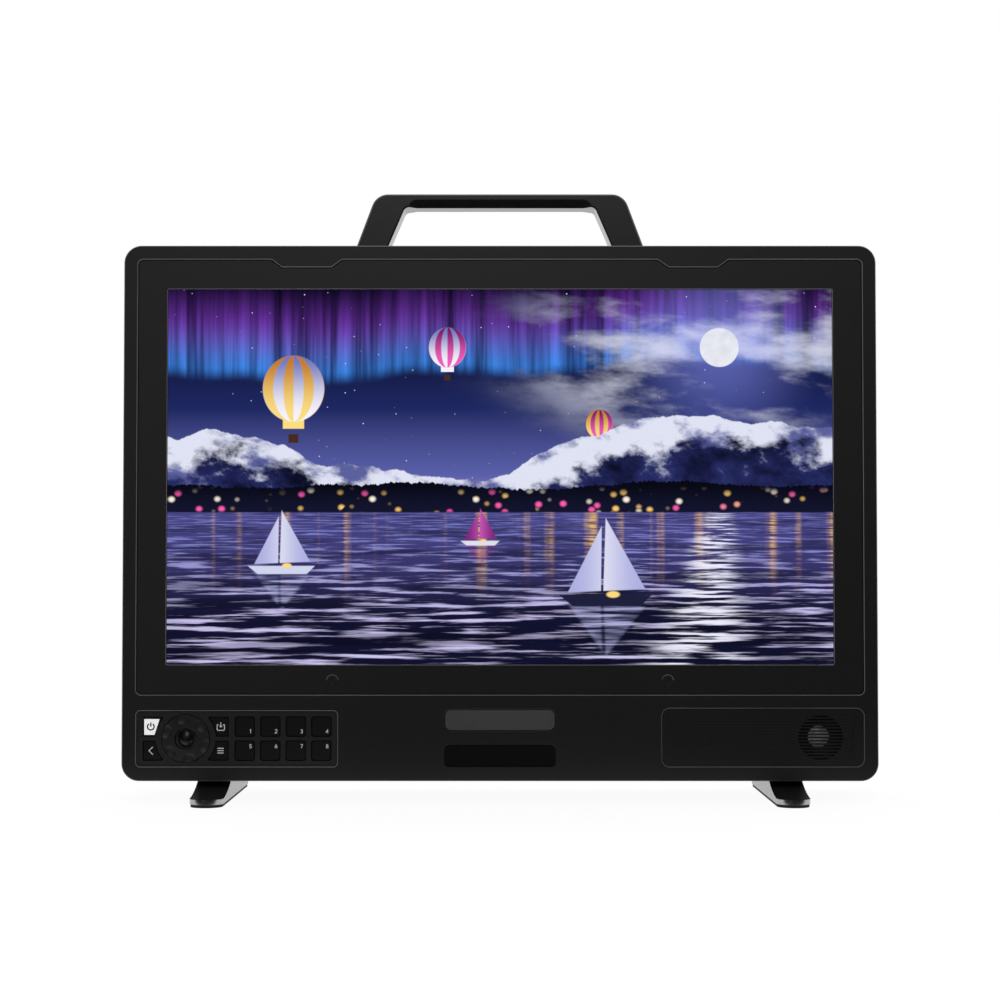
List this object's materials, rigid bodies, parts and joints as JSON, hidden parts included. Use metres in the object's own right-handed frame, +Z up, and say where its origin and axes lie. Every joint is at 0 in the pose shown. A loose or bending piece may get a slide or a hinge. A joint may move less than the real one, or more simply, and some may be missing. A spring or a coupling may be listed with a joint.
{
  "type": "production monitor",
  "caption": "Flat field production monitor with a top carrying handle, two swept feet, a control pocket with buttons and a jog wheel, a tally light, a speaker grille and rear connectors.",
  "frame": {"origin": "on the ground under the middle of the feet's footprint", "axes": "+X to the right seen from the front, +Y from the screen to the back, +Z up"},
  "size_m": [0.4324, 0.138, 0.3546],
  "materials": {
    "housing_black": "satin black powder coat on milled aluminium",
    "frame_black": "satin black anodised",
    "handle_black": "satin black anodised",
    "foot_black": "smooth black anodised",
    "pad_rubber": "matt black rubber",
    "screw_black": "blackened steel",
    "screw_steel": "zinc-plated steel",
    "screen_glass": "clear cover glass, anti-reflective",
    "screen_picture": "display cell, lit from behind",
    "diffuser_white": "white diffuser sheet",
    "board_green": "circuit board",
    "sheet_metal": "plain sheet",
    "board_parts": "black components",
    "bare_aluminium": "bare aluminium",
    "fan_plastic": "black moulding",
    "panel_plastic": "matt dark grey plate",
    "key_rubber": "matt black keys",
    "power_white": "white translucent key, lit",
    "wheel_plastic": "satin black wheel",
    "nub_gloss": "gloss black",
    "stick_plastic": "nylon",
    "tally_grey": "grey lens, unlit",
    "plate_gloss": "gloss black, bare",
    "grille_black": "matt black slotted plate",
    "speaker_metal": "black stamped basket",
    "speaker_dome": "bright dome on a black cone",
    "connector_nickel": "nickel-plated",
    "connector_black": "black moulding",
    "pin_gold": "plated contact"
  },
  "bodies": {
    "housing": {"front_chassis": "housing_black", "rear_cover": "housing_black", "screen_frame": "frame_black", "frame_screws": "screw_black", "cover_glass": "screen_glass", "lcd_panel": "screen_picture", "light_diffuser": "diffuser_white", "light_board": "diffuser_white", "backlight_tray": "sheet_metal", "board_carrier": "sheet_metal", "sheet_screws": "screw_steel", "board_standoffs": "pin_gold", "main_board": "board_green", "heat_sink": "bare_aluminium", "power_board": "board_green", "handle": "handle_black", "handle_screws": "screw_steel", "left_foot": "foot_black", "right_foot": "foot_black", "left_foot_pad": "pad_rubber", "right_foot_pad": "pad_rubber", "foot_screws": "screw_steel", "control_panel": "panel_plastic", "keypad_board": "board_green", "key_switches": "board_parts", "joystick_base": "stick_plastic", "tally_lens": "tally_grey", "tally_board": "board_green", "name_plate": "plate_gloss", "speaker_grille": "grille_black", "speaker_basket": "speaker_metal", "rear_cover_screws": "screw_black", "fan_frame": "fan_plastic", "connector_panel": "housing_black", "coax_jacks": "connector_nickel", "power_inlet": "connector_black", "power_inlet_pins": "pin_gold", "video_socket": "connector_nickel", "data_socket": "connector_nickel", "network_socket": "connector_nickel", "headphone_jack": "connector_black"},
    "power_button": {"power_button": "power_white"},
    "back_button": {"back_button": "key_rubber"},
    "save_button": {"save_button": "key_rubber"},
    "menu_button": {"menu_button": "key_rubber"},
    "function_button_1": {"function_button_1": "key_rubber"},
    "function_button_2": {"function_button_2": "key_rubber"},
    "function_button_3": {"function_button_3": "key_rubber"},
    "function_button_4": {"function_button_4": "key_rubber"},
    "function_button_5": {"function_button_5": "key_rubber"},
    "function_button_6": {"function_button_6": "key_rubber"},
    "function_button_7": {"function_button_7": "key_rubber"},
    "function_button_8": {"function_button_8": "key_rubber"},
    "jog_wheel": {"jog_wheel": "wheel_plastic"},
    "joystick_gimbal": {"joystick_gimbal": "stick_plastic"},
    "joystick_cradle": {"joystick_cradle": "stick_plastic"},
    "joystick_nub": {"joystick_nub": "nub_gloss"},
    "fan_rotor": {"fan_rotor": "fan_plastic"},
    "speaker_cone": {"speaker_cone": "speaker_dome"}
  },
  "joints": [
    {"name": "power_button_press", "type": "slide", "parent": "housing", "child": "power_button", "axis": [0, 1, 0], "range_m": [0, 0.0008], "stiffness_N_per_m": 400},
    {"name": "back_button_press", "type": "slide", "parent": "housing", "child": "back_button", "axis": [0, 1, 0], "range_m": [0, 0.0008], "stiffness_N_per_m": 400},
    {"name": "save_button_press", "type": "slide", "parent": "housing", "child": "save_button", "axis": [0, 1, 0], "range_m": [0, 0.0008], "stiffness_N_per_m": 400},
    {"name": "menu_button_press", "type": "slide", "parent": "housing", "child": "menu_button", "axis": [0, 1, 0], "range_m": [0, 0.0008], "stiffness_N_per_m": 400},
    {"name": "function_button_1_press", "type": "slide", "parent": "housing", "child": "function_button_1", "axis": [0, 1, 0], "range_m": [0, 0.0008], "stiffness_N_per_m": 400},
    {"name": "function_button_2_press", "type": "slide", "parent": "housing", "child": "function_button_2", "axis": [0, 1, 0], "range_m": [0, 0.0008], "stiffness_N_per_m": 400},
    {"name": "function_button_3_press", "type": "slide", "parent": "housing", "child": "function_button_3", "axis": [0, 1, 0], "range_m": [0, 0.0008], "stiffness_N_per_m": 400},
    {"name": "function_button_4_press", "type": "slide", "parent": "housing", "child": "function_button_4", "axis": [0, 1, 0], "range_m": [0, 0.0008], "stiffness_N_per_m": 400},
    {"name": "function_button_5_press", "type": "slide", "parent": "housing", "child": "function_button_5", "axis": [0, 1, 0], "range_m": [0, 0.0008], "stiffness_N_per_m": 400},
    {"name": "function_button_6_press", "type": "slide", "parent": "housing", "child": "function_button_6", "axis": [0, 1, 0], "range_m": [0, 0.0008], "stiffness_N_per_m": 400},
    {"name": "function_button_7_press", "type": "slide", "parent": "housing", "child": "function_button_7", "axis": [0, 1, 0], "range_m": [0, 0.0008], "stiffness_N_per_m": 400},
    {"name": "function_button_8_press", "type": "slide", "parent": "housing", "child": "function_button_8", "axis": [0, 1, 0], "range_m": [0, 0.0008], "stiffness_N_per_m": 400},
    {"name": "jog_wheel_turn", "type": "hinge", "parent": "housing", "child": "jog_wheel", "pos_m": [-0.17965, -0.039, 0.0364], "axis": [0, 1, 0], "continuous": true},
    {"name": "joystick_up_down", "type": "hinge", "parent": "housing", "child": "joystick_gimbal", "pos_m": [-0.17965, -0.0324, 0.0364], "axis": [1, 0, 0], "range_deg": [-10, 10], "stiffness_Nm_per_rad": 0.02},
    {"name": "joystick_left_right", "type": "hinge", "parent": "joystick_gimbal", "child": "joystick_cradle", "pos_m": [-0.17965, -0.0324, 0.0364], "axis": [0, 0, 1], "range_deg": [-10, 10], "stiffness_Nm_per_rad": 0.02},
    {"name": "joystick_click", "type": "slide", "parent": "joystick_cradle", "child": "joystick_nub", "axis": [0, 1, 0], "range_m": [0, 0.0005], "stiffness_N_per_m": 400},
    {"name": "fan_spin", "type": "hinge", "parent": "housing", "child": "fan_rotor", "pos_m": [0.125, 0.037, 0.2523], "axis": [0, 1, 0], "continuous": true},
    {"name": "speaker_stroke", "type": "slide", "parent": "housing", "child": "speaker_cone", "axis": [0, 1, 0], "range_m": [-0.0005, 0.0005], "stiffness_N_per_m": 800}
  ]
}
